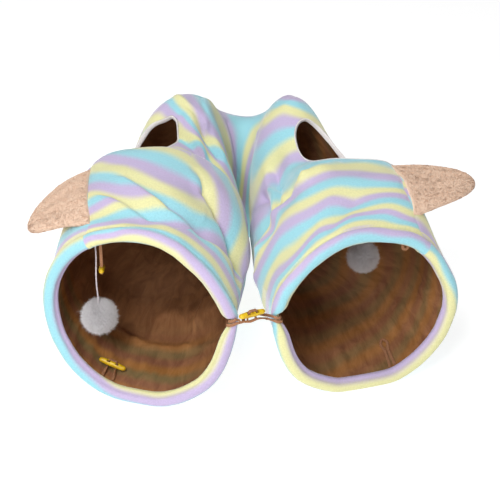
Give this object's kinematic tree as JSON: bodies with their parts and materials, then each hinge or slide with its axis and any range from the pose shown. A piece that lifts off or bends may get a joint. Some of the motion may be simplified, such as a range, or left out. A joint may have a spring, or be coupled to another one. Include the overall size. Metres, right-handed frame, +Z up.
{
  "type": "cat tunnel",
  "caption": "Soft U-bent pet tunnel of striped plush with a crinkle lining, bound peek holes, floppy ears, hanging pompoms and toggle ties at its mouths.",
  "frame": {"origin": "on the floor, under the middle of the box round the tube and its ears", "axes": "+Z up; +Y from the two mouths to the bend at the back; +X from the left mouth to the right mouth as the picture shows them"},
  "size_m": [0.5966, 0.5534, 0.264],
  "materials": {
    "plush": "short velvety pile in aqua, lavender and yellow stripes",
    "lining": "thin brown crinkle cloth, a little glossy",
    "binding": "white woven binding",
    "ear": "tan plush with a matted pile",
    "pompom": "white fluffy yarn",
    "string": "thin white cord",
    "toggle": "golden yellow moulded plastic, satin",
    "tape": "flat brown woven tape"
  },
  "bodies": {
    "root": {"plush_tube": "plush", "lining": "lining", "peek_binding_left": "binding", "peek_binding_right": "binding", "ear_left": "ear", "ear_right": "ear", "pompom_left": "pompom", "pompom_right": "pompom", "pompom_string_left": "string", "pompom_string_right": "string", "toggle_floor": "toggle", "toggle_top": "toggle", "toggle_tie": "toggle", "toggle_tape_floor": "tape", "toggle_tape_top": "tape", "toggle_tape_tie": "tape", "loop_tie": "tape", "loop_floor": "tape", "loop_top": "tape"}
  },
  "joints": []
}
